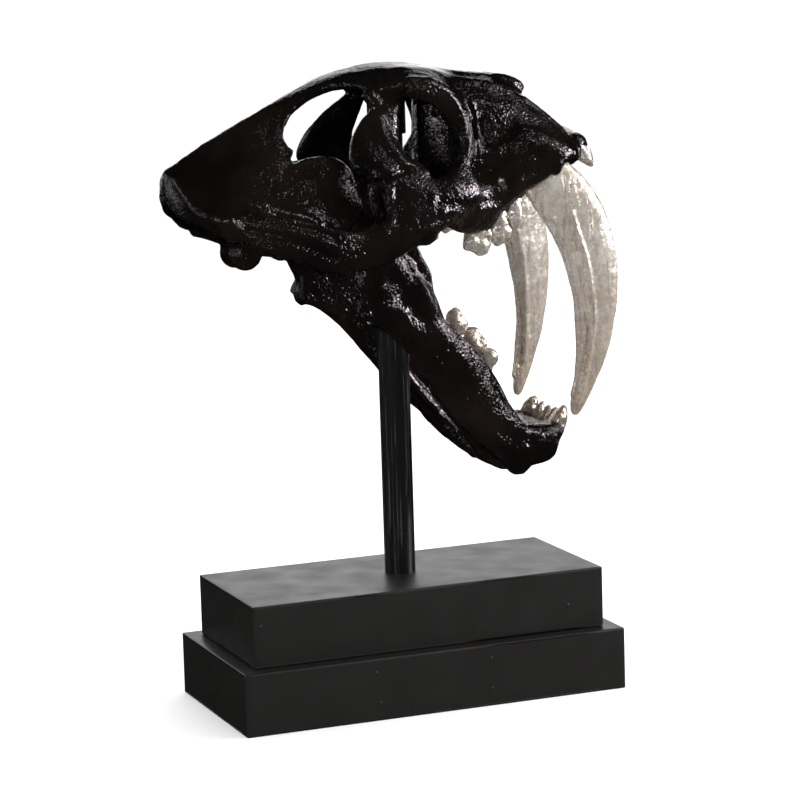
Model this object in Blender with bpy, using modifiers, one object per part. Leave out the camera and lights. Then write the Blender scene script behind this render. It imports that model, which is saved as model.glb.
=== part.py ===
"""Smilodon skull on a stand: a lacquered display cast with leafed teeth, on a pole and a plinth.

Metres, +Z up. X runs along the plinth and the skull faces +X, Y runs across, and the skull is
symmetric about the plane y = 0. The origin is the middle of the plinth's underside. Shapes of the
skull are given in millimetres and scaled once, where a mesh is made.
"""
import math

import bmesh
import bpy
from mathutils import Matrix, Vector

MM = 0.001
GAP = 0.3

# Stand
LOWER_LENGTH, LOWER_WIDTH, LOWER_HEIGHT = 330.0, 162.0, 51.0
UPPER_LENGTH, UPPER_WIDTH, UPPER_HEIGHT = 304.0, 136.0, 50.0
EDGE_RADIUS = 1.2
POLE_RADIUS = 12.7
SLEEVE_RADIUS = 15.5
SLEEVE_FOOT = 462.0
SLEEVE_TOP = 511.0
POLE_SINK = 12.0
UPPER_TOP = LOWER_HEIGHT + GAP + UPPER_HEIGHT

# Upper canines: blades whose front edges turn outward
CANINE_X, CANINE_Y = 140.0, 60.0
CANINE_TURN = math.radians(17.0)
CANINE_THICKNESS = 0.46
CANINE_SIDES = 14

# Fineness of the fused solids
VOXEL = 2.4
TOOTH_VOXEL = 1.0
CRANIUM_FACES = 3500
MANDIBLE_FACES = 1250
TOOTH_FACES = 64


def clear_scene():
    for old in list(bpy.data.objects):
        bpy.data.objects.remove(old, do_unlink=True)


def new_collection(name):
    collection = bpy.data.collections.new(name)
    bpy.context.scene.collection.children.link(collection)
    return collection


def new_material(name, colour, roughness, metallic):
    material = bpy.data.materials.new(name)
    material.use_nodes = True
    shader = material.node_tree.nodes["Principled BSDF"]
    shader.inputs["Base Color"].default_value = (*colour, 1.0)
    shader.inputs["Roughness"].default_value = roughness
    shader.inputs["Metallic"].default_value = metallic
    material.diffuse_color = (*colour, 1.0)
    return material


def add_object(name, bm, collection, material=None):
    """Turn a bmesh in millimetres into an object in metres."""
    bmesh.ops.scale(bm, vec=(MM, MM, MM), verts=bm.verts)
    bmesh.ops.recalc_face_normals(bm, faces=bm.faces)
    mesh = bpy.data.meshes.new(name)
    bm.to_mesh(mesh)
    bm.free()
    obj = bpy.data.objects.new(name, mesh)
    collection.objects.link(obj)
    if material:
        mesh.materials.append(material)
    return obj


def blend(a, b, c, d, t):
    """Catmull-Rom blend of four equal tuples, from b at t = 0 to c at t = 1."""
    return tuple(
        0.5 * (2 * q + (r - p) * t + (2 * p - 5 * q + 4 * r - s) * t * t
               + (3 * q - p - 3 * r + s) * t ** 3)
        for p, q, r, s in zip(a, b, c, d)
    )


def smooth_rows(rows, spans):
    """More rows along a smooth curve through the given rows."""
    ends = [rows[0]] + list(rows) + [rows[-1]]
    out = []
    for i in range(len(rows) - 1):
        for k in range(spans):
            out.append(blend(*ends[i:i + 4], k / spans))
    out.append(tuple(rows[-1]))
    return out


def loft(bm, rings):
    """Skin closed rings of equal length, and cap both ends."""
    loops = [[bm.verts.new(p) for p in ring] for ring in rings]
    count = len(loops[0])
    for a, b in zip(loops, loops[1:]):
        for i in range(count):
            j = (i + 1) % count
            bm.faces.new((a[i], a[j], b[j], b[i]))
    for loop in (loops[0], loops[-1]):
        bm.faces.new(loop)
    return bm


def limb(rows, side=(0, 1, 0), segments=14, spans=4, power=1.0):
    """A bone along a path. Rows are x, y, z, half width along side, half depth across it."""
    rows = smooth_rows(rows, spans)
    points = [Vector(row[:3]) for row in rows]
    rings = []
    for i, row in enumerate(rows):
        ahead = points[min(i + 1, len(points) - 1)] - points[max(i - 1, 0)]
        ahead.normalize()
        width_axis = Vector(side) - ahead * ahead.dot(Vector(side))
        width_axis.normalize()
        depth_axis = ahead.cross(width_axis)
        ring = []
        for k in range(segments):
            a = 2 * math.pi * k / segments
            c, s = math.cos(a), math.sin(a)
            c = math.copysign(abs(c) ** power, c)
            s = math.copysign(abs(s) ** power, s)
            ring.append(points[i] + width_axis * row[3] * c + depth_axis * row[4] * s)
        rings.append(ring)
    return loft(bmesh.new(), rings)


def trunk(stations, spans=3):
    """A symmetric body along X. A station is x and its half outline (y, z) from crown to floor."""
    rows = [(x, *[v for point in outline for v in point]) for x, outline in stations]
    rings = []
    for row in smooth_rows(rows, spans):
        x = row[0]
        half = [(row[i], row[i + 1]) for i in range(1, len(row), 2)]
        ring = [Vector((x, -y, z)) for y, z in half]
        ring += [Vector((x, y, z)) for y, z in reversed(half[1:-1])]
        rings.append(ring)
    return loft(bmesh.new(), rings)


def lump(centre, radii, turn=(0.0, 0.0, 0.0)):
    """An egg: a sphere stretched to three radii and turned, in degrees."""
    bm = bmesh.new()
    bmesh.ops.create_uvsphere(bm, u_segments=20, v_segments=12, radius=1.0)
    spin = Matrix.Rotation(math.radians(turn[2]), 4, "Z")
    spin @= Matrix.Rotation(math.radians(turn[1]), 4, "Y")
    spin @= Matrix.Rotation(math.radians(turn[0]), 4, "X")
    bmesh.ops.transform(
        bm, verts=bm.verts, matrix=Matrix.Translation(centre) @ spin @ Matrix.Diagonal((*radii, 1.0)))
    return bm


def plate(outline, y_low, y_high):
    """A flat outline (x, z) with a thickness along Y."""
    rings = [[Vector((x, y, z)) for x, z in outline] for y in (y_low, y_high)]
    return loft(bmesh.new(), rings)


def rod(start, end, radius, segments=32):
    """A straight round bar between two points."""
    start, end = Vector(start), Vector(end)
    bm = bmesh.new()
    bmesh.ops.create_cone(
        bm, cap_ends=True, segments=segments, radius1=radius, radius2=radius,
        depth=(end - start).length)
    turn = (end - start).to_track_quat("Z", "Y").to_matrix().to_4x4()
    bmesh.ops.transform(bm, verts=bm.verts, matrix=Matrix.Translation((start + end) / 2) @ turn)
    return bm


def both_sides(shapes):
    """The given shapes, which lie at y below 0, and their mirror images."""
    out = []
    for bm in shapes:
        twin = bm.copy()
        bmesh.ops.scale(twin, vec=(1.0, -1.0, 1.0), verts=twin.verts)
        bmesh.ops.reverse_faces(twin, faces=twin.faces)
        out += [bm, twin]
    return out


def gather(name, shapes, collection):
    """One object that holds several closed shapes, with their faces turned outward."""
    obj = bpy.data.objects.new(name, bpy.data.meshes.new(name))
    collection.objects.link(obj)
    add_shapes(obj, shapes)
    return obj


def add_shapes(obj, shapes):
    """Put more closed shapes into an object, to be fused with what it holds."""
    merged = bmesh.new()
    merged.from_mesh(obj.data)
    for bm in shapes:
        bmesh.ops.recalc_face_normals(bm, faces=bm.faces)
        bmesh.ops.scale(bm, vec=(MM, MM, MM), verts=bm.verts)
        piece = bpy.data.meshes.new("piece")
        bm.to_mesh(piece)
        merged.from_mesh(piece)
        bm.free()
        bpy.data.meshes.remove(piece)
    merged.to_mesh(obj.data)
    merged.free()


def apply_all(obj):
    """Replace an object's mesh with what its modifiers make of it."""
    depsgraph = bpy.context.evaluated_depsgraph_get()
    mesh = bpy.data.meshes.new_from_object(obj.evaluated_get(depsgraph))
    old = obj.data
    obj.modifiers.clear()
    obj.data = mesh
    bpy.data.meshes.remove(old)


def fuse(obj, voxel, smoothing):
    """Melt overlapping shapes into one skin."""
    remesh = obj.modifiers.new("Fuse", "REMESH")
    remesh.mode = "VOXEL"
    remesh.voxel_size = voxel * MM
    smooth = obj.modifiers.new("Soften", "SMOOTH")
    smooth.factor = 0.5
    smooth.iterations = smoothing
    apply_all(obj)


def carve(obj, name, shapes, cutters):
    """Cut one gathered set of shapes out of an object."""
    cutter = gather(name, shapes, cutters)
    fuse(cutter, VOXEL, 1)
    cut = obj.modifiers.new(name, "BOOLEAN")
    cut.operation = "DIFFERENCE"
    cut.solver = "EXACT"
    cut.object = cutter
    apply_all(obj)
    cutter.hide_render = True
    cutter.display_type = "WIRE"


def thin_out(obj, faces):
    """Bring a fused skin down to about the given number of triangles."""
    decimate = obj.modifiers.new("Thin out", "DECIMATE")
    decimate.ratio = faces / (2.0 * len(obj.data.polygons))
    decimate.use_collapse_triangulate = True
    apply_all(obj)


def rear_section(crest, crest_half, mid, low, base, floor):
    """Half outline of the skull's rear, from the crest down to the floor."""
    return [(0, crest), (crest_half, crest - 4), mid, low, base, (0, floor)]


def roof_section(half, crown, edge, depth):
    """Half outline of the skull's roof, a gently domed slab."""
    drop = crown - edge
    return [
        (0, crown), (0.5 * half, crown - 0.22 * drop), (0.88 * half, edge + 2.5), (half, edge - 2),
        (0.86 * half, edge - 7), (0.45 * half, crown - depth), (0, crown - depth),
    ]


def cranium_core():
    """Rear, braincase, roof, snout and floor, all symmetric about y = 0."""
    rear = trunk([
        (-191, rear_section(438, 5, (8, 431), (8, 424), (5, 418), 416)),
        (-185, rear_section(446, 6, (18, 432), (24, 420), (20, 408), 406)),
        (-174, rear_section(453, 6, (27, 434), (39, 416), (32, 402), 401)),
        (-158, rear_section(463, 6, (31, 438), (55, 410), (46, 396), 392)),
        (-140, rear_section(472, 6, (31, 443), (62, 412), (50, 389), 386)),
        (-118, rear_section(482, 8, (30, 452), (56, 416), (46, 384), 380)),
        (-98, rear_section(489, 9, (27, 458), (50, 418), (42, 384), 380)),
        (-93, rear_section(484, 6, (22, 460), (44, 424), (38, 390), 388)),
    ])
    braincase = trunk([
        (-158, [(0, 450), (26, 440), (42, 426), (54, 418), (66, 412), (66, 400), (46, 391), (0, 389)]),
        (-138, [(0, 456), (26, 447), (42, 434), (56, 424), (68, 419), (67, 401), (46, 386), (0, 384)]),
        (-116, [(0, 456), (26, 449), (42, 434), (56, 420), (69, 412), (68, 396), (46, 383), (0, 381)]),
        (-94, [(0, 451), (26, 448), (42, 435), (54, 417), (70, 402), (68, 390), (44, 381), (0, 380)]),
        (-74, [(0, 449), (26, 446), (43, 434), (54, 416), (62, 398), (60, 387), (42, 382), (0, 382)]),
        (-57, [(0, 446), (25, 442), (41, 430), (52, 412), (59, 397), (56, 387), (40, 384), (0, 384)]),
        (-44, [(0, 437), (22, 433), (37, 423), (48, 408), (54, 396), (51, 387), (36, 385), (0, 386)]),
        (-34, [(0, 424), (17, 421), (30, 414), (42, 404), (48, 395), (46, 387), (32, 386), (0, 387)]),
        (-24, [(0, 410), (14, 408), (26, 404), (36, 399), (40, 394), (38, 388), (26, 388), (0, 389)]),
    ])
    roof = trunk([
        (-122, roof_section(8, 481, 473, 20)),
        (-98, roof_section(12, 492, 485, 15)),
        (-72, roof_section(17, 504, 499, 12)),
        (-46, roof_section(27, 514, 507, 12)),
        (-22, roof_section(47, 519, 502, 15)),
        (0, roof_section(55, 520, 507, 15)),
        (24, roof_section(54, 518, 503, 17)),
        (48, roof_section(47, 513, 490, 24)),
        (68, roof_section(42, 508, 482, 30)),
    ])
    snout = trunk([
        (42, [(0, 511), (28, 507), (44, 491), (49, 466), (52, 437), (52, 406), (42, 386), (0, 398)]),
        (60, [(0, 509), (28, 505), (44, 487), (50, 463), (56, 436), (57, 406), (46, 388), (0, 402)]),
        (80, [(0, 506), (28, 503), (44, 483), (52, 460), (61, 436), (63, 412), (50, 400), (0, 408)]),
        (98, [(0, 502), (30, 495), (46, 476), (57, 456), (66, 436), (68, 419), (52, 409), (0, 418)]),
        (120, [(0, 486), (38, 476), (50, 465), (61, 453), (68, 441), (68, 429), (52, 421), (0, 430)]),
        (134, [(0, 474), (46, 461), (55, 454), (62, 448), (66, 443), (65, 437), (52, 430), (0, 434)]),
        (143, [(0, 467), (50, 447), (56, 445), (60, 442), (62, 440), (60, 437), (48, 431), (0, 434)]),
        (151, [(0, 463), (30, 451), (36, 447), (40, 443), (42, 440), (40, 436), (32, 432), (0, 434)]),
        (162, [(0, 458), (18, 452), (25, 448), (30, 443), (31, 440), (29, 436), (21, 431), (0, 431)]),
        (170, [(0, 449), (12, 446), (17, 444), (20, 441), (21, 439), (19, 436), (14, 432), (0, 432)]),
    ])
    floor = limb([
        (-165, 0, 396, 24, 9), (-120, 0, 390, 24, 11), (-60, 0, 394, 22, 10),
        (0, 0, 398, 20, 9), (50, 0, 404, 20, 10),
    ])
    return [rear, braincase, roof, snout, floor]


def cranium_cavities():
    """The nose opening, the slits in front of the eyes and the hole of the spine."""
    return [
        lump((131, 0, 486), (34, 21, 20), (0, 40, 0)),
        lump((110, 0, 468), (28, 19, 18), (0, 38, 0)),
        limb([(-182, 0, 374, 11, 9), (-132, 0, 404, 10, 8)]),
    ] + both_sides([
        lump((71, -62, 466), (14, 7, 19), (0, -12, 8)),
        limb([(46, -40, 462, 5, 6), (58, -50, 464, 5, 8), (68, -58, 464, 4, 6)]),
    ])


def cranium_right():
    """The paired bones on the skull's right side, at y below 0."""
    nuchal_crest = limb([
        (-187, 4, 441, 5, 5), (-182, -14, 435, 5, 5), (-178, -28, 424, 5, 5),
        (-174, -42, 415, 5, 5), (-163, -54, 408, 6, 6), (-148, -65, 406, 8, 9),
    ])
    arch = limb([
        (-164, -58, 402, 6, 8), (-148, -70, 404, 9, 12), (-124, -80, 395, 9, 17),
        (-100, -84, 388, 8, 17), (-76, -87, 381, 7, 17), (-54, -87, 379, 7, 16),
        (-30, -86, 387, 7, 17), (-6, -82, 401, 8, 19), (20, -73, 412, 10, 20), (46, -60, 416, 12, 23),
    ])
    bar = limb([
        (-7, -38, 505, 9, 7), (-9, -39, 493, 7, 7), (-14, -41, 485, 10, 7), (-20, -44, 477, 14, 8),
        (-27, -49, 466, 19, 8), (-31, -55, 455, 23, 9), (-32, -62, 445, 25, 9), (-31, -69, 436, 22, 8),
        (-36, -73, 429, 10, 5),
    ], side=(1, 0, 0), power=0.8)
    cheek_horn = limb([
        (-8, -83, 398, 26, 7), (-10, -79, 412, 25, 8), (-10, -73, 426, 22, 8), (-7, -66, 438, 16, 6),
        (-5, -60, 446, 9, 4),
    ], side=(1, 0, 0), power=0.8)
    window_rim = limb([
        (-74, -14, 494, 4, 4), (-87, -16, 487, 4, 4), (-94, -19, 479, 4, 4), (-98, -22, 470, 4, 4),
        (-98, -26, 461, 4, 4), (-93, -32, 452, 5, 5),
    ])
    orbit_rim = limb([
        (14, -51, 507, 5, 5), (34, -51, 496, 5, 5), (46, -52, 478, 5, 5), (49, -54, 460, 5, 5),
        (44, -58, 443, 5, 6), (31, -65, 430, 6, 7), (13, -71, 422, 7, 7), (-6, -75, 422, 7, 7),
    ])
    canine_root = limb([
        (128, -60, 434, 10, 16), (108, -56, 444, 12, 18), (88, -52, 456, 8, 14),
    ])
    cheek = limb([
        (24, -68, 410, 10, 18), (44, -60, 404, 12, 22), (66, -56, 405, 10, 21), (90, -57, 417, 9, 13),
    ])
    nasal = limb([
        (52, -9, 504, 14, 8), (80, -9, 500, 14, 8), (102, -8, 497, 12, 7), (117, -6, 492, 7, 5),
    ])
    glenoid = limb([
        (-92, -34, 388, 10, 10), (-94, -62, 385, 13, 9), (-96, -86, 384, 12, 8),
    ], side=(1, 0, 0))
    lumps = [
        lump((-128, -12, 374), (14, 12, 14)),
        lump((-152, -56, 398), (11, 9, 10)),
        lump((-112, -54, 381), (13, 12, 9)),
        lump((-108, -28, 382), (17, 12, 11)),
        lump((-64, -66, 388), (12, 18, 7)),
        lump((-26, -85, 384), (13, 8, 9)),
        lump((-2, -80, 388), (12, 8, 10)),
        lump((158, -20, 446), (10, 12, 10)),
        lump((-36, -62, 413), (8, 5, 18), (0, -10, 0)),
    ]
    pterygoid = limb([
        (48, -24, 403, 5, 10), (26, -25, 402, 4, 9), (4, -26, 398, 4, 8), (-16, -25, 390, 4, 6),
    ])
    return [
        nuchal_crest, arch, bar, cheek_horn, window_rim, orbit_rim, canine_root, cheek, nasal, glenoid,
        pterygoid,
    ] + lumps


def mandible_right():
    """The right half of the lower jaw, at y below 0."""
    body = limb([
        (-44, -75, 331, 7, 11), (-30, -74, 326, 8, 15), (-8, -71, 312, 10, 19),
        (14, -65, 291, 11, 23), (42, -54, 258, 11, 26), (67, -46, 227, 11, 21),
        (90, -41, 205, 11, 18), (110, -38, 205, 11, 17), (125, -36, 213, 10, 9),
    ])
    ramus = plate([
        (-55, 322), (-55, 346), (-70, 360), (-88, 361), (-92, 372), (-62, 370), (-46, 374),
        (-38, 394), (-24, 400), (-10, 394), (-4, 378), (8, 354), (9, 336), (18, 318), (-10, 300),
    ], -72, -62)
    condyle = limb([(-84, -84, 370, 8, 7), (-84, -72, 371, 9, 8), (-84, -58, 372, 8, 7)], side=(1, 0, 0))
    symphysis = limb([
        (108, -40, 200, 18, 15), (115, -20, 204, 17, 15), (117, 4, 206, 16, 14),
    ], side=(1, 0, 0))
    return [
        body, ramus, condyle, symphysis,
        lump((-51, -75, 328), (8, 7, 11)),
        lump((-34, -73, 352), (24, 8, 26), (0, 24, 0)),
        lump((-8, -72, 332), (18, 9, 26), (0, -38, 0)),
        lump((125, -30, 213), (12, 15, 8)),
        lump((90, -42, 190), (12, 7, 11)),
    ]


def upper_canine():
    """Right sabre: rows of place along the blade, height and half width, tip to root."""
    rows = [
        (-6, 229.5, 1.6), (-5, 232, 3.2), (-2, 243, 6.0), (3, 257, 9.5), (8, 275, 12.8), (11.5, 296, 15.8),
        (13, 319, 18.4), (12, 342, 21), (8, 364, 23), (1, 386, 24.5), (-11, 406, 25),
        (-26, 424, 22), (-44, 442, 15),
    ]
    along = Vector((math.cos(CANINE_TURN), -math.sin(CANINE_TURN), 0))
    across = Vector((0, 0, 1)).cross(along)
    centres = [Vector((CANINE_X, -CANINE_Y, z)) + along * s for s, z, half in rows]
    rings = []
    for i, row in enumerate(rows):
        ahead = (centres[min(i + 1, len(rows) - 1)] - centres[max(i - 1, 0)]).normalized()
        width_axis = across.cross(ahead)
        half = row[2]
        thick = half * CANINE_THICKNESS
        ring = []
        for k in range(CANINE_SIDES):
            a = 2 * math.pi * k / CANINE_SIDES
            ring.append(centres[i] + width_axis * half * math.cos(a) + across * thick * math.sin(a))
        rings.append(ring)
    return loft(bmesh.new(), rings)


def peg(tip, root, radius):
    """A small pointed tooth from its tip to its root."""
    tip, root = Vector(tip), Vector(root)
    rows = []
    for t, share in ((-0.02, 0.12), (0.12, 0.5), (0.35, 0.9), (0.62, 1.0), (1.0, 0.75)):
        p = tip.lerp(root, t)
        rows.append((*p, radius * share, radius * share))
    return limb(rows, segments=7, spans=1)


# Small teeth of the right side: name, tip, root, radius
UPPER_INCISORS = [
    ("upper_incisor_{}_1", (178, -5, 430), (163, -5, 451), 4.2),
    ("upper_incisor_{}_2", (175, -15, 429), (160, -15, 450), 4.8),
    ("upper_incisor_{}_3", (169, -27, 428), (153, -26, 448), 5.6),
]
LOWER_INCISORS = [
    ("lower_incisor_{}_1", (141, -6, 226), (132, -6, 208), 4.4),
    ("lower_incisor_{}_2", (140, -17, 227), (131, -17, 208), 4.8),
]
LOWER_CANINE = ("lower_canine_{}", (138, -30, 230), (126, -29, 206), 6.2)

# Cheek teeth of the right side: name, then eggs (centre, radii) of cusps and root
UPPER_CHEEK = [
    ("upper_cheek_tooth_{}_1", [((86, -57, 396), (5.4, 5, 8)), ((86, -56, 406), (5.2, 5, 10))]),
    ("upper_cheek_tooth_{}_2", [((71, -56, 380), (5.4, 5.5, 8)), ((77, -56, 382), (4.4, 5, 8)),
                                ((73, -55, 391), (6.8, 5.5, 11))]),
    ("upper_cheek_tooth_{}_3", [((49, -55, 376), (7, 5.5, 8)), ((57, -55, 373.5), (7, 5.5, 8.5)),
                                ((60, -55, 380), (5, 5, 7)), ((54, -54, 387), (10, 5.5, 12))]),
]
LOWER_CHEEK = [
    ("lower_cheek_tooth_{}_1", [((64, -46, 280), (7.5, 6, 7)), ((60, -45, 270), (7, 5, 9))]),
    ("lower_cheek_tooth_{}_2", [((49, -49, 299), (5.5, 5, 7.5)), ((51, -49, 293), (7.5, 6, 7)),
                                ((56, -49, 291), (5, 5, 6)), ((45, -48, 285), (7, 5, 9))]),
    ("lower_cheek_tooth_{}_3", [((33, -52, 315), (6, 5, 8)), ((35, -52, 309), (8, 6, 7.5)),
                                ((28, -50, 302), (7.5, 5, 10))]),
]


def cheek_tooth(name, eggs, parts):
    """Melt a tooth's cusps into one solid."""
    tooth = gather(name, [lump(centre, radii) for centre, radii in eggs], parts)
    fuse(tooth, TOOTH_VOXEL, 1)
    thin_out(tooth, TOOTH_FACES)
    return tooth


def add_teeth(parts, silver):
    """Make every tooth of the right side, and its twin. Give back the teeth of each jaw."""
    upper = [add_object("upper_canine_{}", upper_canine(), parts)]
    upper += [add_object(name, peg(tip, root, r), parts) for name, tip, root, r in UPPER_INCISORS]
    upper += [cheek_tooth(name, eggs, parts) for name, eggs in UPPER_CHEEK]
    lower = [add_object(name, peg(tip, root, r), parts)
             for name, tip, root, r in [LOWER_CANINE] + LOWER_INCISORS]
    lower += [cheek_tooth(name, eggs, parts) for name, eggs in LOWER_CHEEK]
    for jaw in (upper, lower):
        for tooth in list(jaw):
            tooth.data.materials.append(silver)
            twin = tooth.copy()
            twin.data = tooth.data.copy()
            twin.data.transform(Matrix.Scale(-1.0, 4, (0, 1, 0)))
            twin.data.flip_normals()
            parts.objects.link(twin)
            twin.name = tooth.name.format("left")
            tooth.name = tooth.name.format("right")
            jaw.append(twin)
    return upper, lower


def cut_holes(obj, name, shapes, fitted, cutters):
    """Cut shapes out of a finished bone, and a socket for each fitted piece, with a gap around it."""
    cutter = gather(name, shapes, cutters)
    merged = bmesh.new()
    merged.from_mesh(cutter.data)
    for piece in fitted:
        bm = bmesh.new()
        bm.from_mesh(piece.data)
        bm.normal_update()
        for vert in bm.verts:
            vert.co += vert.normal * GAP * MM
        grown = bpy.data.meshes.new(name)
        bm.to_mesh(grown)
        bm.free()
        merged.from_mesh(grown)
        bpy.data.meshes.remove(grown)
    merged.to_mesh(cutter.data)
    merged.free()
    cutter.hide_render = True
    cutter.display_type = "WIRE"
    cut = obj.modifiers.new(name, "BOOLEAN")
    cut.operation = "DIFFERENCE"
    cut.solver = "EXACT"
    cut.object = cutter
    apply_all(obj)


def block(name, length, width, height, foot, collection, material):
    bm = bmesh.new()
    bmesh.ops.create_cube(bm, size=1.0)
    bmesh.ops.scale(bm, vec=(length, width, height), verts=bm.verts)
    bmesh.ops.translate(bm, vec=(0, 0, foot + height / 2), verts=bm.verts)
    obj = add_object(name, bm, collection, material)
    bevel = obj.modifiers.new("Eased edges", "BEVEL")
    bevel.width = EDGE_RADIUS * MM
    bevel.segments = 2
    return obj


def build_stand(parts, cutters, black):
    block("base_lower", LOWER_LENGTH, LOWER_WIDTH, LOWER_HEIGHT, 0.0, parts, black)
    upper = block(
        "base_upper", UPPER_LENGTH, UPPER_WIDTH, UPPER_HEIGHT, LOWER_HEIGHT + GAP, parts, black)
    apply_all(upper)
    foot = UPPER_TOP - POLE_SINK
    seat = rod((0, 0, foot), (0, 0, UPPER_TOP + 20), POLE_RADIUS + GAP)
    cut_holes(upper, "pole_seat", [seat], [], cutters)
    add_object("pole", rod((0, 0, foot + GAP), (0, 0, SLEEVE_TOP - 4), POLE_RADIUS), parts, black)
    sleeve = add_object(
        "pole_sleeve", rod((0, 0, SLEEVE_FOOT), (0, 0, SLEEVE_TOP), SLEEVE_RADIUS), parts, black)
    bore = rod((0, 0, SLEEVE_FOOT - 10), (0, 0, SLEEVE_TOP - 4 + GAP), POLE_RADIUS + GAP)
    cut_holes(sleeve, "sleeve_bore", [bore], [], cutters)


def build_cranium(parts, cutters, bone, fitted):
    skull = gather("cranium", cranium_core(), parts)
    fuse(skull, VOXEL, 2)
    carve(skull, "cranium_cavities", cranium_cavities(), cutters)
    add_shapes(skull, both_sides(cranium_right()))
    fuse(skull, VOXEL, 3)
    thin_out(skull, CRANIUM_FACES)
    pole_way = rod((0, 0, 300), (0, 0, 440), POLE_RADIUS + 2 * GAP)
    sleeve_seat = rod((0, 0, SLEEVE_FOOT - 30), (0, 0, SLEEVE_TOP + GAP), SLEEVE_RADIUS + GAP)
    cut_holes(skull, "cranium_holes", [pole_way, sleeve_seat], fitted, cutters)
    skull.data.materials.append(bone)


def build_mandible(parts, cutters, bone, teeth):
    jaw = gather("mandible", both_sides(mandible_right()), parts)
    fuse(jaw, VOXEL, 4)
    thin_out(jaw, MANDIBLE_FACES)
    cut_holes(jaw, "mandible_sockets", [], teeth, cutters)
    jaw.data.materials.append(bone)
    return jaw


def main():
    clear_scene()
    parts = new_collection("smilodon_skull")
    cutters = new_collection("cutters")
    lacquer = new_material("black lacquer", (0.012, 0.011, 0.013), 0.22, 0.0)
    silver = new_material("silver leaf", (0.62, 0.58, 0.52), 0.35, 1.0)
    satin = new_material("satin black", (0.02, 0.02, 0.02), 0.5, 0.0)
    build_stand(parts, cutters, satin)
    upper_teeth, lower_teeth = add_teeth(parts, silver)
    jaw = build_mandible(parts, cutters, lacquer, lower_teeth)
    build_cranium(parts, cutters, lacquer, upper_teeth + [jaw])


main()
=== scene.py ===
"""Smilodon skull on a stand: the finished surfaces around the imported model.

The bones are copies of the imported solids, melted to a fine skin and worked over with ridges,
grooves and a leathery relief. Teeth, pole and plinth are finished at the solids' own places.
Places of ridges and grooves are in millimetres in the object's frame.
"""
import math

import bpy
import numpy as np
from mathutils import Matrix, Vector
from mathutils.bvhtree import BVHTree


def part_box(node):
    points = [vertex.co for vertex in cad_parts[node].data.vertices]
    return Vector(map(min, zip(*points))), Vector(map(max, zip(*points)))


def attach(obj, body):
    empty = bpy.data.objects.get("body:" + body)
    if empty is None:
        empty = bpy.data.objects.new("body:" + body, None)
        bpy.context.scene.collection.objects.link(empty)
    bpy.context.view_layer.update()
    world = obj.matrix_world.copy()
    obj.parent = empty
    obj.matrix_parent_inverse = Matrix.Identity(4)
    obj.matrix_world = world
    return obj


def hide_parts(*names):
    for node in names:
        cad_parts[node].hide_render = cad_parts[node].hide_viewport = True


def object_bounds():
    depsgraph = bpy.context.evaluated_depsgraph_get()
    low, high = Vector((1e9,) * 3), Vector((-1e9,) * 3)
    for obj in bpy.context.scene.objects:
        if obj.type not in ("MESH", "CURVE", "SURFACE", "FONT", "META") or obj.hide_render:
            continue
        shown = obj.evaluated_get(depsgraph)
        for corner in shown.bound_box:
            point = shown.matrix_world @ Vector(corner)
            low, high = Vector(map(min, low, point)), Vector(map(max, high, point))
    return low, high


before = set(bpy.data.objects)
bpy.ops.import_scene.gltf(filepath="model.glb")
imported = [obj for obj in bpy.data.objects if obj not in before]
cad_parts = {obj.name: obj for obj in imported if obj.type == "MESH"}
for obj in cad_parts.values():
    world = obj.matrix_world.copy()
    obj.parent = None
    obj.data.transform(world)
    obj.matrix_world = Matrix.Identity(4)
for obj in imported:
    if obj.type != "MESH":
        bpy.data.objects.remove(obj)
cad_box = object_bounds()

MM = 0.001

# Camera, solved from the plinth's corners
CAMERA_AZIMUTH = 0.374
CAMERA_ELEVATION = 0.1652
CAMERA_ROLL = -0.0306
CAMERA_DISTANCE = 2.5468
CAMERA_TARGET = Vector((0.00446, 0.0, 0.2437))
CAMERA_LENS = 140.08
SENSOR_WIDTH = 36.0

# Studio: where the lights aim and the floor's size in metres, and how bright the room is
LIT_CENTRE = Vector((0.0, 0.0, 0.36))
FLOOR_SIZE = 400.0
ROOM_BRIGHTNESS = 1.3

# Skins of the bones and teeth: fineness in millimetres, and rounds of softening
CRANIUM_VOXEL = 1.75
CRANIUM_SOFTENING = 14
MANDIBLE_VOXEL = 1.3
MANDIBLE_SOFTENING = 12
SABRE_VOXEL = 0.85
SMALL_TOOTH_VOXEL = 0.55
FIRST_TOOTH_SOFTENING = 4
SMALL_TOOTH_SOFTENING = 34

# How far teeth are swelled or moved, in millimetres
TIP_SWELL = 1.6
SMALL_TOOTH_SWELL = 1.7
INCISOR_SWELL = 1.0
FRONT_CHEEK_TOOTH_DROP = 3.0

# Spacing along rolls and strokes, and a distance that is clear of the skull, in millimetres
ROLL_STEP = 3.0
ROLL_ROUNDNESS = 5
STROKE_STEP = 0.8
OUTSIDE = 300.0

# Flat wall in the skull before the eyes, the wedge that it becomes and the raised gum
WALL_BACK = 30.0
WALL_FRONT = 43.5
WALL_HALF_WIDTH = 48.0
WALL_FACING = -0.45
WEDGE_CREST = -13.0
WEDGE_NEAR_DEPTH = 21.0
WEDGE_FAR_DEPTH = 25.0
GUM_LIFT = 7.0


# Making meshes

def pick(obj):
    """Make one object the only one selected, and the active one."""
    bpy.ops.object.select_all(action="DESELECT")
    obj.select_set(True)
    bpy.context.view_layer.objects.active = obj


def shape_with(obj, kind, **settings):
    """Add one modifier to an object and apply it."""
    pick(obj)
    modifier = obj.modifiers.new(kind.title(), kind)
    for key, value in settings.items():
        setattr(modifier, key, value)
    bpy.ops.object.modifier_apply(modifier=modifier.name)


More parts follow.
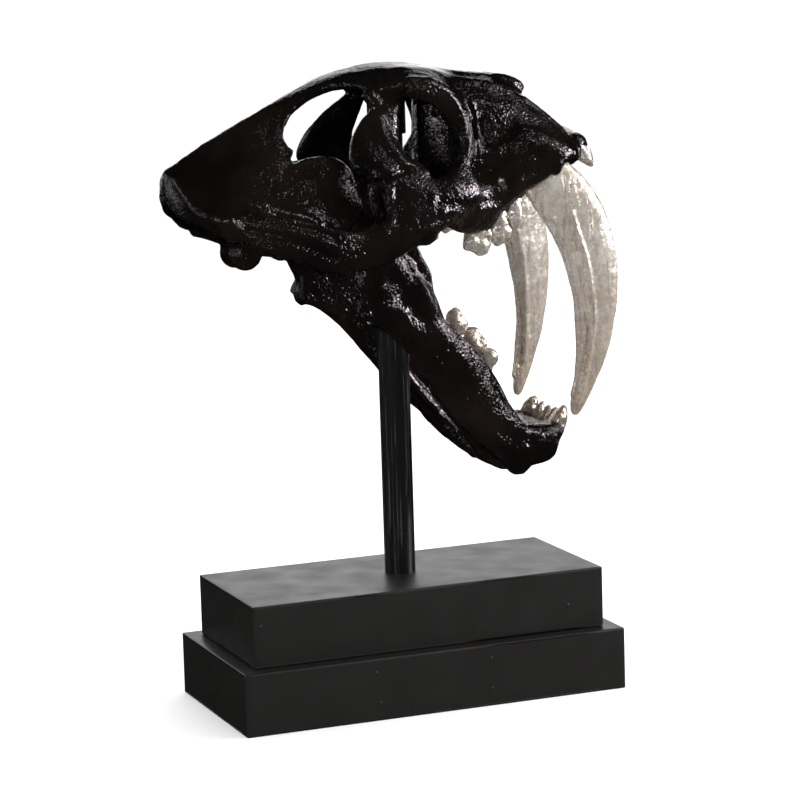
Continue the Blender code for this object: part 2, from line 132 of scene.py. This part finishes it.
def node_copy(node, name):
    """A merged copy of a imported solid, as an object of its own."""
    obj = bpy.data.objects.new(name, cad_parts[node].data.copy())
    bpy.context.collection.objects.link(obj)
    obj.data.materials.clear()
    pick(obj)
    bpy.ops.object.mode_set(mode="EDIT")
    bpy.ops.mesh.select_all(action="SELECT")
    bpy.ops.mesh.remove_doubles(threshold=1e-5)
    bpy.ops.object.mode_set(mode="OBJECT")
    return obj


def melt(obj, voxel, softening):
    """Turn an object's shapes into one fine, soft skin."""
    shape_with(obj, "REMESH", mode="VOXEL", voxel_size=voxel * MM)
    shape_with(obj, "SMOOTH", factor=0.5, iterations=softening)


def relief(obj, size, depth, noise_depth):
    """Raise and lower a skin by soft clouds. Size and depth are in millimetres."""
    texture = bpy.data.textures.new("Clouds", "CLOUDS")
    texture.noise_scale = size * MM
    texture.noise_depth = noise_depth
    shape_with(obj, "DISPLACE", texture=texture, strength=depth * MM, mid_level=0.5,
               texture_coords="LOCAL")


def positions(mesh):
    flat = np.empty(3 * len(mesh.vertices))
    mesh.vertices.foreach_get("co", flat)
    return flat.reshape(-1, 3)


def normals(mesh):
    flat = np.empty(3 * len(mesh.vertices))
    mesh.vertex_normals.foreach_get("vector", flat)
    return flat.reshape(-1, 3)


def set_positions(mesh, places):
    mesh.vertices.foreach_set("co", places.ravel())
    mesh.update()


def even_path(points, step=STROKE_STEP * MM):
    """A smooth curve through points, as closely spaced points."""
    if len(points) == 1:
        return np.array(points)
    ends = [points[0]] + list(points) + [points[-1]]
    out = []
    for a, b, c, d in zip(ends, ends[1:], ends[2:], ends[3:]):
        a, b, c, d = (np.array(p) for p in (a, b, c, d))
        for t in np.linspace(0, 1, max(2, int(np.linalg.norm(c - b) / step)), endpoint=False):
            out.append(0.5 * (2 * b + (c - a) * t + (2 * a - 5 * b + 4 * c - d) * t ** 2
                              + (3 * b - a - 3 * c + d) * t ** 3))
    out.append(np.array(points[-1]))
    return np.array(out)


def on_skin(tree, point, side):
    """The skin's place at (x, z), seen from one side, or nearest to (x, y, z)."""
    if len(point) == 2:
        start = Vector((point[0], side * OUTSIDE, point[1])) * MM
        place, normal, _, _ = tree.ray_cast(start, Vector((0, -side, 0)))
    else:
        spot = Vector((point[0], -point[1] * side, point[2])) * MM
        place, normal, _, _ = tree.find_nearest(spot)
    return place, normal


def sculpt(obj, strokes, sides=(-1, 1)):
    """Press grooves and draw up ridges along paths on a skin.

    A stroke is its points, its radius, its height (below 0 for a groove) and its sharpness.
    """
    mesh = obj.data
    for points, radius, height, sharpness in strokes:
        places = positions(mesh)
        facing = normals(mesh)
        tree = BVHTree.FromPolygons(
            [Vector(p) for p in places], [face.vertices[:] for face in mesh.polygons])
        for side in sides:
            hits = [on_skin(tree, point, side) for point in points]
            hits = [hit for hit in hits if hit[0] is not None]
            path = even_path([tuple(place) for place, _ in hits])
            outward = np.mean([tuple(normal) for _, normal in hits], axis=0)
            reach = radius * MM
            low, high = path.min(axis=0) - reach, path.max(axis=0) + reach
            near = np.flatnonzero(np.all((places > low) & (places < high), axis=1))
            near = near[facing[near] @ outward > 0]
            gap = np.min(np.linalg.norm(places[near, None, :] - path[None, :, :], axis=2), axis=1)
            weight = np.clip(1 - gap / reach, 0, 1) ** sharpness
            weight = weight * weight * (3 - 2 * weight)
            places[near] += facing[near] * (weight * height * MM)[:, None]
        set_positions(mesh, places)


def ramp(value, low, high):
    """A smooth step from 0 at low to 1 at high."""
    share = np.clip((value - low) / (high - low), 0, 1)
    return share * share * (3 - 2 * share)


def add_rolls(obj, rolls):
    """Lay round rolls against a solid, for the skin to take up.

    A roll is points of the near side, a radius, and the sides that have it.
    """
    parts = [obj]
    for points, radius, sides in rolls:
        for mirror in sides:
            bpy.ops.object.select_all(action="DESELECT")
            bpy.ops.curve.primitive_nurbs_path_add()
            roll = bpy.context.object
            roll.data.splines.clear()
            spline = roll.data.splines.new("POLY")
            path = even_path([(x * MM, y * mirror * MM, z * MM) for x, y, z in points],
                             ROLL_STEP * MM)
            spline.points.add(len(path) - 1)
            for place, spot in zip(path, spline.points):
                spot.co = (*place, 1.0)
            roll.data.bevel_depth = radius * MM
            roll.data.bevel_resolution = ROLL_ROUNDNESS
            roll.data.use_fill_caps = True
            bpy.ops.object.convert(target="MESH")
            parts.append(bpy.context.object)
    pick(obj)
    for part in parts:
        part.select_set(True)
    bpy.ops.object.join()


def shape_inner_wall(obj):
    """Turn the flat wall before the eyes into a wedge whose near face looks outward."""
    mesh = obj.data
    places, facing = positions(mesh) / MM, normals(mesh)
    x, y, z = places.T
    wall = ((x > WALL_BACK) & (x < WALL_FRONT) & (np.abs(y) < WALL_HALF_WIDTH)
            & (facing[:, 0] < WALL_FACING))
    near_face = WEDGE_NEAR_DEPTH * ramp(y, -38, WEDGE_CREST)
    far_face = WEDGE_FAR_DEPTH * (WALL_HALF_WIDTH - y) / (WALL_HALF_WIDTH - WEDGE_CREST)
    depth = np.minimum(near_face, far_face) * ramp(z, 424, 436) * ramp(-z, -498, -484)
    places[:, 0] -= np.where(wall, np.maximum(depth, 0), 0)
    set_positions(mesh, places * MM)


def lift_gum(obj):
    """Raise the edge of the upper jaw over the front cheek teeth."""
    mesh = obj.data
    places = positions(mesh) / MM
    x, y, z = places.T
    share = ramp(x, 60, 74) * ramp(-x, -108, -94) * ramp(np.abs(y), 50, 55) * ramp(-z, -420, -398)
    places[:, 2] += GUM_LIFT * share
    set_positions(mesh, places * MM)


def keep_in_box(obj):
    """Hold a piece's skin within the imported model's box."""
    set_positions(obj.data, np.clip(positions(obj.data), cad_box[0], cad_box[1]))


def install(piece, material, slot, *nodes):
    """Give a piece its finish and put it in place of its solids."""
    pick(piece)
    bpy.ops.object.shade_smooth()
    keep_in_box(piece)
    piece.data.materials.clear()
    piece.data.materials.append(material)
    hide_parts(*nodes)
    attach(piece, "root")


# Bones

CRANIUM_STROKES = [
    # Top of the braincase, pressed down behind the wall's edge
    ([(-100, 0, 450), (-88, 0, 449), (-76, 0, 449), (-66, 0, 448), (-56, 0, 444)], 32, -8.0, 0.8),
    # Crest at the back of the head and the ridge inside it
    ([(-184, 437), (-183, 431), (-180, 420), (-176, 412), (-170, 410), (-163, 409)], 7, 2.2, 1.2),
    ([(-171, 424), (-167, 421), (-162, 416), (-157, 411)], 6, 1.8, 1.3),
    # Root of the cheek arch: brow, groove, band, groove and lower ridge
    ([(-140, 424), (-128, 417), (-115, 411), (-99, 407), (-88, 402)], 8, 2.6, 1.1),
    ([(-151, 416), (-142, 418), (-132, 413), (-118, 405), (-98, 400), (-80, 391)], 6, -3.0, 1.0),
    ([(-148, 411), (-140, 414), (-131, 405), (-113, 397), (-92, 390), (-80, 381)], 7, 2.2, 1.2),
    ([(-147, 401), (-123, 394), (-98, 384), (-82, 375)], 5, -2.4, 1.1),
    ([(-158, 396), (-135, 386), (-110, 377), (-86, 368), (-77, 365)], 5, 1.4, 1.2),
    # Front of the temple wall, swelling before the cleft
    ([(-62, 436), (-66, 424), (-64, 414), (-54, 405)], 14, 2.5, 0.8),
    # Bar behind the eye: a leaf with a ridge down its front half
    ([(-27, 478), (-26, 469), (-22, 459), (-16, 449), (-9, 441)], 9, 2.2, 1.0),
    ([(-47, 430), (-37, 430), (-31, 434), (-19, 438), (-8, 440)], 5, -2.5, 1.0),
    # Rear edge of the cheekbone, and its muscle marks
    ([(-28, 428), (-32, 416), (-35, 405), (-40, 392)], 6, 1.8, 1.2),
    ([(-24, 425), (-26, 412), (-28, 400)], 6, -1.6, 1.0),
    ([(5, 418), (3, 413)], 5, 1.4, 1.2),
    ([(24, 423), (26, 421)], 5, 1.2, 1.2),
    ([(12, 404), (22, 404), (32, 401)], 7, 1.8, 1.1),
    ([(26, 419), (40, 417), (54, 416), (64, 419)], 16, 2.4, 0.8),
    ([(-25, 385), (-14, 389), (-4, 392), (7, 395), (19, 396), (31, 393)], 5, 1.3, 1.2),
    # Rim of the eye
    ([(-4, 506), (8, 508), (20, 503), (32, 495), (41, 482), (44, 468), (43, 456), (40, 446),
      (31, 438), (20, 433), (4, 436)], 6, 1.6, 1.2),
    # Slit before the eye: rim, hole and lower lip
    ([(56, 487), (59, 476), (60, 466), (58, 455), (57, 445)], 4, 1.5, 1.2),
    ([(64, 470), (65, 460), (66, 455)], 6, -4.0, 0.9),
    ([(61, 447), (68, 445), (76, 449), (82, 456)], 6, 1.6, 1.0),
    # Snout: root of the sabre, ridge above the cheek teeth, edge of the nose
    ([(70, 429), (77, 433), (86, 438), (97, 440)], 8, 2.2, 1.0),
    ([(76, 424), (88, 430), (100, 431)], 6, -1.8, 1.0),
    ([(50, 402), (62, 403), (73, 406), (82, 414), (88, 423)], 7, 1.6, 1.0),
    ([(108, -34, 487), (122, -38, 476), (134, -44, 466), (141, -51, 457), (144, -58, 448)], 5, 1.8, 1.2),
    ([(60, -30, 503), (80, -31, 499), (95, -32, 493)], 6, 1.2, 1.0),
    ([(93, -14, 504), (103, -13, 503), (112, -12, 497)], 7, 1.5, 1.0),
]

CRANIUM_ROLLS = [
    # Inner lip of the brow, longer on the near side
    ([(0, -48, 501), (8, -50, 499), (19, -51, 495), (30, -51, 487), (39, -51, 474), (46, -50, 458)],
     8.0, (1,)),
    ([(0, -48, 501), (8, -50, 499), (19, -51, 495), (30, -51, 490)], 8.0, (-1,)),
    # Root of the bar behind the eye
    ([(-31, -38, 499), (-27, -41, 492), (-23, -43, 488)], 6.0, (1,)),
    # Upper edge of the temple wall, in front
    ([(-97, -36, 434), (-92, -35, 439), (-86, -36, 443), (-78, -37, 445), (-68, -37, 445), (-60, -37, 443),
      (-53, -36, 438), (-48, -35, 430), (-44, -34, 420), (-40, -35, 411), (-39, -37, 401)], 6.0, (1,)),
    ([(-90, -34, 434), (-80, -35, 438), (-68, -35, 438), (-58, -34, 433), (-50, -33, 424), (-45, -34, 412)],
     9.0, (1,)),
]

MANDIBLE_ROLLS = [
    # Lower border of the chin
    ([(20, -40, 262), (38, -37, 238), (54, -32, 218), (68, -24, 202), (80, -16, 193), (90, -8, 187),
      (100, 0, 184)], 8.0, (1, -1)),
    # Floor behind the front teeth
    ([(100, -16, 206), (112, -9, 210), (122, 0, 210)], 6.5, (1, -1)),
]

MANDIBLE_STROKES = [
    # Thin rim along the rear and lower edge
    ([(-61, 354), (-54, 342), (-57, 330), (-53, 322), (-42, 313), (-27, 303), (-10, 283), (6, 261),
      (16, 248), (30, 233), (46, 217), (62, 203)], 4.5, 2.6, 1.5),
    # Muscle hollow and lumps on the outer face
    ([(-30, 352), (-18, 340), (-6, 322)], 12, -1.8, 0.9),
    ([(-12, 364), (-4, 350), (2, 334)], 6, 1.6, 1.1),
    ([(20, 298), (38, 274), (56, 250)], 10, 1.3, 0.9),
    ([(70, 222), (84, 212), (98, 208)], 9, -1.5, 0.9),
    # Hollow along the top rim towards the chin
    ([(66, 256), (74, 242), (84, 232), (98, 226)], 5, -1.6, 1.1),
]


def bone(node, voxel, softening, rolls, strokes, material):
    """A lacquered bone: its solid and rolls melted to a fine skin, then worked over."""
    obj = node_copy(node, node + "_bone")
    add_rolls(obj, rolls)
    melt(obj, voxel, softening)
    if node == "cranium":
        shape_inner_wall(obj)
        lift_gum(obj)
    sculpt(obj, strokes)
    relief(obj, 26.0, 1.2, 2)
    relief(obj, 9.0, 0.45, 2)
    relief(obj, 4.0, 0.15, 1)
    install(obj, material, "lacquered_bone", node)


# Teeth

def sabre(side, sign, material):
    """An upper canine: its blade made smooth, with ridges and wrinkles along it."""
    node = "upper_canine_" + side
    obj = node_copy(node, "sabre_" + side)
    shape_with(obj, "SUBSURF", levels=3, render_levels=3)
    melt(obj, SABRE_VOXEL, FIRST_TOOTH_SOFTENING)
    outer = [
        # Ridge down the middle, groove behind it, raised rear border
        ([(131, -69, 396), (135, -70, 381), (142, -71, 359), (146, -71, 335), (148, -70, 308),
          (145, -68, 282), (141, -64, 256), (136, -61, 239)], 4.5, 2.2, 1.6),
        ([(124, -65, 384), (132, -67, 363), (139, -68, 335), (143, -68, 313), (143, -67, 289),
          (139, -64, 266)], 3.2, -2.2, 1.2),
        ([(119, -63, 389), (129, -65, 366), (135, -65, 336), (139, -66, 315), (140, -66, 290),
          (136, -62, 266), (133, -60, 245)], 3.5, 1.8, 1.4),
    ]
    inner = [
        # Long crack and the ridge before it
        ([(130, -47, 382), (135, -50, 366), (141, -53, 339), (143, -55, 309), (143, -56, 284),
          (141, -56, 258)], 5.0, 1.8, 1.3),
        ([(125, -49, 377), (128, -51, 365), (132, -55, 342), (135, -57, 322), (138, -56, 301),
          (139, -56, 275), (137, -56, 254)], 2.6, -2.4, 1.2),
    ]
    sculpt(obj, outer + inner, sides=(sign,))
    places = positions(obj.data)
    blunting = TIP_SWELL * MM * ramp(-places[:, 2] / MM, -262, -236)
    set_positions(obj.data, places + normals(obj.data) * blunting[:, None])
    relief(obj, 14.0, 0.9, 1)
    relief(obj, 3.5, 0.35, 2)
    install(obj, material, "silver_leaf", node)


def small_tooth(node, material):
    """A cheek tooth, incisor or lower canine: swelled, melted and wrinkled into cusps."""
    obj = node_copy(node, node + "_leafed")
    melt(obj, SMALL_TOOTH_VOXEL, FIRST_TOOTH_SOFTENING)
    swell = INCISOR_SWELL if "incisor" in node else SMALL_TOOTH_SWELL
    shape_with(obj, "DISPLACE", strength=swell * MM, mid_level=0.0)
    melt(obj, SMALL_TOOTH_VOXEL, SMALL_TOOTH_SOFTENING)
    relief(obj, 5.0, 1.3, 0)
    if node.startswith("upper_cheek_tooth") and node.endswith("1"):
        set_positions(obj.data, positions(obj.data) - np.array([0, 0, FRONT_CHEEK_TOOTH_DROP * MM]))
    relief(obj, 2.2, 0.4, 1)
    install(obj, material, "silver_leaf", node)


# Stand

# Small blisters in the paint: place and the axis their side of the block faces
PAINT_BLISTERS = {
    "base_lower": [((-55, -80.9, 39), "Y"), ((-52, -80.9, 14), "Y"), ((45, -80.9, 39), "Y"),
                   ((45, -80.9, 14), "Y"), ((-164.9, -2, 36), "X"), ((-164.9, -2, 19), "X")],
    "base_upper": [((-147, -67.9, 85), "Y"), ((120, -67.9, 72), "Y")],
}
BLISTER_RADIUS = 2.0
BLISTER_FLATNESS = 0.22
BLOCK_CUTS = 48
BLOCK_EDGE = 1.3
TUBE_SIDES = 96
POLE_EDGE = 0.4
SLEEVE_EDGE = 0.6


def plinth_block(node, material):
    """One block of the plinth: eased edges, slightly wavy faces and a few blisters in its paint."""
    low, high = (Vector(corner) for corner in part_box(node))
    bpy.ops.object.select_all(action="DESELECT")
    bpy.ops.mesh.primitive_cube_add(size=1.0)
    obj = bpy.context.object
    obj.name = node + "_block"
    bpy.ops.object.mode_set(mode="EDIT")
    bpy.ops.transform.resize(value=high - low)
    bpy.ops.transform.translate(value=(low + high) / 2)
    bpy.ops.mesh.subdivide(number_cuts=BLOCK_CUTS)
    bpy.ops.object.mode_set(mode="OBJECT")
    shape_with(obj, "BEVEL", width=BLOCK_EDGE * MM, segments=3, limit_method="ANGLE")
    relief(obj, 80.0, 0.05, 1)
    blisters = []
    for spot, facing in PAINT_BLISTERS[node]:
        bpy.ops.object.select_all(action="DESELECT")
        bpy.ops.mesh.primitive_uv_sphere_add(
            segments=24, ring_count=12, radius=BLISTER_RADIUS * MM)
        blister = bpy.context.object
        bpy.ops.object.mode_set(mode="EDIT")
        bpy.ops.mesh.select_all(action="SELECT")
        flat = [BLISTER_FLATNESS if axis == facing else 1.0 for axis in "XYZ"]
        bpy.ops.transform.resize(value=flat)
        bpy.ops.transform.translate(value=Vector(spot) * MM)
        bpy.ops.object.mode_set(mode="OBJECT")
        blisters.append(blister)
    pick(obj)
    for blister in blisters:
        blister.select_set(True)
    bpy.ops.object.join()
    install(obj, material, "plinth_black", node)


def tube(node, material, edge):
    """A round turned piece of the stand, with eased ends."""
    low, high = (Vector(corner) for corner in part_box(node))
    bpy.ops.object.select_all(action="DESELECT")
    bpy.ops.mesh.primitive_cylinder_add(
        vertices=TUBE_SIDES, radius=(high.x - low.x) / 2, depth=high.z - low.z, end_fill_type="TRIFAN")
    obj = bpy.context.object
    obj.name = node + "_turned"
    bpy.ops.object.mode_set(mode="EDIT")
    bpy.ops.transform.translate(value=(low + high) / 2)
    bpy.ops.object.mode_set(mode="OBJECT")
    shape_with(obj, "BEVEL", width=edge * MM, segments=3, limit_method="ANGLE")
    install(obj, material, "pole_black", node)


# Shader maths

class Term:
    """A shader socket that takes arithmetic."""

    def __init__(self, finish, socket):
        self.finish = finish
        self.socket = socket

    def _math(self, operation, a, b):
        return self.finish.node("ShaderNodeMath", {"operation": operation}, {0: a, 1: b})

    def __add__(self, other):
        return self._math("ADD", self, other)

    def __sub__(self, other):
        return self._math("SUBTRACT", self, other)

    def __mul__(self, other):
        return self._math("MULTIPLY", self, other)


class Finish:
    """A material and its nodes."""

    def __init__(self, name, **constants):
        self.material = bpy.data.materials.new(name)
        self.material.use_nodes = True
        self.tree = self.material.node_tree
        self.shader = self.tree.nodes["Principled BSDF"]
        for key, value in constants.items():
            self.shader.inputs[key.replace("_", " ")].default_value = value
        self.place = self.node("ShaderNodeTexCoord", None, {}, "Object")

    def node(self, kind, settings, inputs, output=0):
        """Add a node, set it up, feed its sockets and give back one output."""
        node = self.tree.nodes.new(kind)
        for key, value in (settings or {}).items():
            setattr(node, key, value)
        for key, value in inputs.items():
            self._feed(node.inputs[key], value)
        return Term(self, node.outputs[output])

    def _feed(self, socket, value):
        if isinstance(value, Term):
            self.tree.links.new(value.socket, socket)
        else:
            socket.default_value = value

    def feed(self, socket, value):
        self._feed(self.shader.inputs[socket], value)

    def noise(self, scale, detail=3.0, roughness=0.5, distortion=0.0, place=None):
        return self.node("ShaderNodeTexNoise", None, {
            "Vector": place or self.place, "Scale": scale, "Detail": detail,
            "Roughness": roughness, "Distortion": distortion}, "Fac")

    def cell_edges(self, scale, place):
        return self.node("ShaderNodeTexVoronoi", {"feature": "DISTANCE_TO_EDGE"}, {
            "Vector": place, "Scale": scale}, "Distance")

    def wandering(self, scale, distance):
        """Object coordinates, shaken by noise so that cells lose their straight edges."""
        shake = self.node("ShaderNodeTexNoise", None, {"Vector": self.place, "Scale": scale}, "Color")
        offset = self.node("ShaderNodeVectorMath", {"operation": "SCALE"}, {
            0: shake, "Scale": distance})
        return self.node("ShaderNodeVectorMath", {"operation": "ADD"}, {0: self.place, 1: offset})

    def stretched(self, x, y, z):
        return self.node("ShaderNodeMapping", None, {"Vector": self.place, "Scale": (x, y, z)})

    def span(self, value, low, high, to_low=0.0, to_high=1.0):
        """Bring a range of a value to another range, held at its ends."""
        return self.node("ShaderNodeMapRange", {"clamp": True}, {
            "Value": value, "From Min": low, "From Max": high, "To Min": to_low, "To Max": to_high})

    def mix(self, share, a, b):
        colours = [(*c, 1.0) if isinstance(c, tuple) else c for c in (a, b)]
        return self.node("ShaderNodeMix", {"data_type": "RGBA"}, {
            0: share, 6: colours[0], 7: colours[1]}, 2)

    def bump(self, height, distance, strength):
        return self.node("ShaderNodeBump", None, {
            "Height": height, "Distance": distance, "Strength": strength})


def black_lacquer():
    """Deep black gloss over a leathery cast, with a faint brown in places."""
    f = Finish("black lacquer", Specular_Tint=(1.0, 0.86, 0.97, 1.0), Specular_IOR_Level=0.55)
    wander = f.wandering(160.0, 0.004)
    leather = f.span(f.cell_edges(360.0, wander), 0.0, 0.25)
    grain = f.noise(560.0, 1.0, 0.5)
    dimples = f.noise(210.0, 1.5, 0.5, 0.8)
    coarse = f.span(f.noise(26.0, 2.0), 0.40, 0.62, 0.3, 1.0)
    patchy = f.span(f.noise(38.0, 1.0), 0.40, 0.60, 0.40, 1.0)
    height = (leather * 0.2 + grain * 1.2) * coarse + dimples * 1.15 * patchy
    f.feed("Normal", f.bump(height, 0.0010, 0.8))
    warm = f.span(f.noise(14.0, 2.0), 0.45, 0.7)
    f.feed("Base Color", f.mix(warm, (0.0024, 0.0021, 0.0018), (0.0070, 0.0050, 0.0040)))
    f.feed("Roughness", f.span(f.noise(60.0, 4.0), 0.3, 0.7, 0.07, 0.16))
    return f.material


def silver_leaf(name, metallic):
    """Silver leaf, warm and mottled with tarnish, darker low down, wrinkled and specked."""
    f = Finish(name, Metallic=metallic)
    cloud = f.span(f.noise(48.0, 4.0, 0.6, 0.8), 0.40, 0.62)
    mottle = f.span(f.noise(330.0, 4.0, 0.68, 0.5), 0.44, 0.60)
    streak = f.span(f.noise(1.0, 5.0, 0.68, 0.8, f.stretched(240.0, 240.0, 26.0)), 0.53, 0.66)
    speck = f.span(f.noise(800.0, 3.0, 0.7), 0.60, 0.70)
    colour = f.mix(cloud * 0.8, (1.0, 0.94, 0.865), (0.70, 0.59, 0.49))
    colour = f.mix(mottle * 0.38, colour, (0.54, 0.45, 0.375))
    height_above_base = f.node("ShaderNodeSeparateXYZ", None, {"Vector": f.place}, 2)
    low = f.span(height_above_base, 0.25, 0.36, 1.0, 0.0)
    colour = f.mix(low * 0.7, colour, (0.46, 0.365, 0.275))
    colour = f.mix(streak * 0.65, colour, (0.30, 0.25, 0.215))
    colour = f.mix(speck * 0.2, colour, (0.16, 0.13, 0.11))
    f.feed("Base Color", colour)
    f.feed("Roughness", f.span(f.noise(210.0, 4.0), 0.35, 0.65, 0.16, 0.36))
    height = f.noise(400.0, 1.5, 0.6) * 0.40 + f.noise(120.0, 2.0) * 1.0 - streak * 0.25
    f.feed("Normal", f.bump(height, 0.0010, 0.7))
    return f.material


def satin_paint(name, colour, painted_highlight_streak_colour, roughness, grain):
    """Satin black paint with a faint orange peel and upright painted highlight streaks in its colour,
    strong on the pole and barely lighter than the paint on the plinth.
    """
    f = Finish(name, Specular_IOR_Level=0.6)
    streak = f.span(f.noise(1.0, 3.0, 0.6, 0.2, f.stretched(420.0, 420.0, 9.0)), 0.55, 0.72)
    # Painted highlight: the upright streaks lighten the base colour in place of reflected light
    f.feed("Base Color", f.mix(streak, colour, painted_highlight_streak_colour))
    f.feed("Roughness", f.span(f.noise(40.0, 4.0), 0.3, 0.7, roughness - 0.04, roughness + 0.05))
    f.feed("Normal", f.bump(f.noise(grain, 3.0) + f.noise(60.0, 2.0) * 2.0, 0.0002, 0.25))
    return f.material


def plain(name, colour, roughness):
    material = bpy.data.materials.new(name)
    material.use_nodes = True
    shader = material.node_tree.nodes["Principled BSDF"]
    shader.inputs["Base Color"].default_value = (*colour, 1.0)
    shader.inputs["Roughness"].default_value = roughness
    return material


# Studio

def set_camera():
    camera = bpy.data.objects.new("camera", bpy.data.cameras.new("camera"))
    bpy.context.collection.objects.link(camera)
    flat = math.cos(CAMERA_ELEVATION)
    back = Vector((
        -math.sin(CAMERA_AZIMUTH) * flat, -math.cos(CAMERA_AZIMUTH) * flat,
        math.sin(CAMERA_ELEVATION)))
    right = Vector((0, 0, 1)).cross(back).normalized()
    up = back.cross(right)
    turned_right = right * math.cos(CAMERA_ROLL) + up * math.sin(CAMERA_ROLL)
    turned_up = up * math.cos(CAMERA_ROLL) - right * math.sin(CAMERA_ROLL)
    axes = Matrix((turned_right, turned_up, back)).transposed().to_4x4()
    camera.matrix_world = Matrix.Translation(CAMERA_TARGET + back * CAMERA_DISTANCE) @ axes
    camera.data.lens = CAMERA_LENS
    camera.data.sensor_width = SENSOR_WIDTH
    bpy.context.scene.camera = camera


def softbox(name, direction, distance, width, height, radiance):
    """A soft panel of even brightness, facing the skull and unseen by the camera.

    Its direction from the skull is an azimuth (0 at the near side, 90 at the snout) and an
    elevation, in degrees.
    """
    azimuth, elevation = (math.radians(angle) for angle in direction)
    away = Vector((math.sin(azimuth) * math.cos(elevation), -math.cos(azimuth) * math.cos(elevation),
                   math.sin(elevation)))
    light = bpy.data.lights.new(name, "AREA")
    light.shape = "RECTANGLE"
    light.size = width
    light.size_y = height
    light.energy = math.pi * width * height * radiance
    obj = bpy.data.objects.new(name, light)
    bpy.context.collection.objects.link(obj)
    obj.location = LIT_CENTRE + away * distance
    obj.rotation_euler = away.to_track_quat("Z", "Y").to_euler()
    obj.visible_camera = False


def set_studio():
    bpy.ops.object.select_all(action="DESELECT")
    bpy.ops.mesh.primitive_plane_add(size=FLOOR_SIZE)
    floor = bpy.context.object
    floor.name = "floor"
    floor.data.materials.append(plain("pale floor", (0.95, 0.95, 0.95), 0.7))
    floor.visible_glossy = False
    world = bpy.data.worlds.new("studio")
    world.use_nodes = True
    world.node_tree.nodes["Background"].inputs["Color"].default_value = (1, 1, 1, 1)
    world.node_tree.nodes["Background"].inputs["Strength"].default_value = ROOM_BRIGHTNESS
    world.cycles_visibility.glossy = False
    bpy.context.scene.world = world
    bpy.context.scene.view_settings.view_transform = "Standard"
    softbox("right key", (68, 15), 2.0, 0.5, 0.6, 36.0)
    softbox("right upper", (60, 42), 2.0, 0.4, 0.4, 7.0)
    softbox("left front", (-50, 10), 2.0, 0.4, 0.4, 10.0)
    softbox("left rear", (-118, 12), 2.0, 1.0, 1.0, 1.4)
    softbox("backdrop", (168, 12), 2.6, 2.7, 1.1, 2.0)


def main():
    lacquer = black_lacquer()
    silver = silver_leaf("silver leaf", 0.8)
    sabre_silver = silver_leaf("sabre silver leaf", 0.67)
    plinth_paint = satin_paint(
        "plinth paint", (0.0100, 0.0093, 0.0086), (0.0112, 0.0104, 0.0098), 0.42, 900.0)
    # Pole: its light upright streaks are painted highlights standing in for the lamps' reflections
    pole_paint = satin_paint("pole paint", (0.0055, 0.0055, 0.006), (0.050, 0.050, 0.053), 0.24, 700.0)
    bone("cranium", CRANIUM_VOXEL, CRANIUM_SOFTENING, CRANIUM_ROLLS, CRANIUM_STROKES, lacquer)
    bone("mandible", MANDIBLE_VOXEL, MANDIBLE_SOFTENING, MANDIBLE_ROLLS, MANDIBLE_STROKES, lacquer)
    sabre("right", -1, sabre_silver)
    sabre("left", 1, sabre_silver)
    for node in list(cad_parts):
        if "tooth" in node or "incisor" in node or "lower_canine" in node:
            small_tooth(node, silver)
    plinth_block("base_lower", plinth_paint)
    plinth_block("base_upper", plinth_paint)
    tube("pole", pole_paint, POLE_EDGE)
    tube("pole_sleeve", pole_paint, SLEEVE_EDGE)
    set_studio()
    set_camera()


main()
